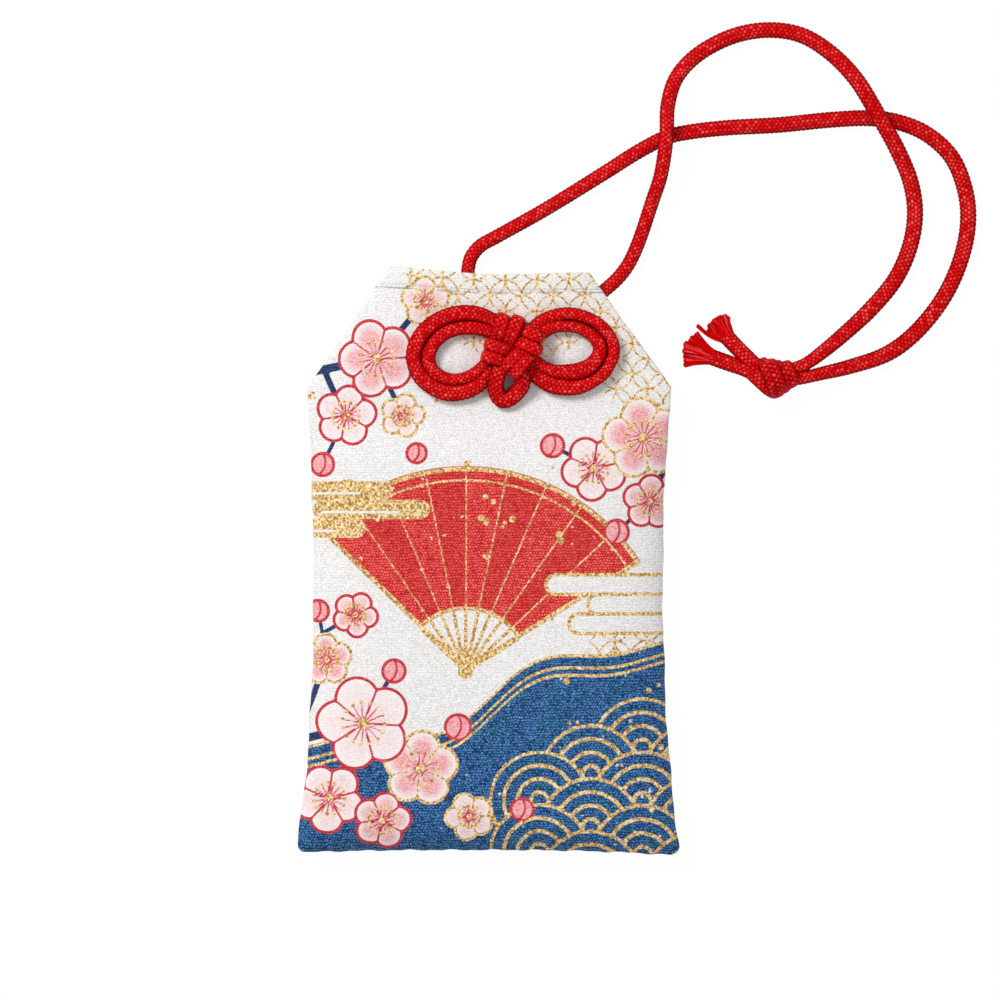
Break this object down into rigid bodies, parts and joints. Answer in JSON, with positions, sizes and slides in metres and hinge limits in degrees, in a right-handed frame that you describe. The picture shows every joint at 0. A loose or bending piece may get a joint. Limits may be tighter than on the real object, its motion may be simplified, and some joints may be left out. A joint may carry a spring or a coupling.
{
  "type": "omamori charm",
  "caption": "Flat printed cloth pouch with a small wooden tablet inside, tied in front with a double bow knot of braided cord that runs on into a knotted carrying loop.",
  "frame": {"origin": "centre of the pouch's outline, on the table under its back", "axes": "+Z out of the printed front, +Y towards the mouth, +X to the right seen from the front"},
  "size_m": [0.0901, 0.1106, 0.0104],
  "materials": {
    "printed_cloth": "plain-woven off-white polyester, printed in red, blue, pink and gold",
    "lining": "thin plain white lining cloth",
    "cord": "glossy red braided polyester cord",
    "card": "plain grey-brown card",
    "paper": "soft white handmade paper",
    "wood": "plain planed cypress"
  },
  "bodies": {
    "pouch": {"front_cloth": "printed_cloth", "back_cloth": "printed_cloth", "mouth_hem_front": "printed_cloth", "mouth_hem_back": "printed_cloth", "left_corner_tuck": "printed_cloth", "right_corner_tuck": "printed_cloth", "front_lining": "lining", "back_lining": "lining", "stiffener_card": "card", "left_bow": "cord", "right_bow": "cord", "knot_bottom_loop": "cord", "knot_top_band_inner": "cord", "knot_top_band_outer": "cord", "knot_left_band_inner": "cord", "knot_left_band_outer": "cord", "knot_bottom_band_inner": "cord", "knot_bottom_band_outer": "cord", "knot_right_band_inner": "cord", "knot_right_band_outer": "cord", "left_cord_leg": "cord", "right_cord_leg": "cord", "left_strand": "cord", "right_strand": "cord", "end_knot_wrap": "cord", "upper_tassel": "cord", "lower_tassel": "cord"},
    "charm_slip": {"wooden_tablet": "wood", "paper_sleeve": "paper"}
  },
  "joints": [
    {"name": "slip_slide", "type": "slide", "parent": "pouch", "child": "charm_slip", "axis": [0, 1, 0], "range_m": [0, 0.003]}
  ]
}
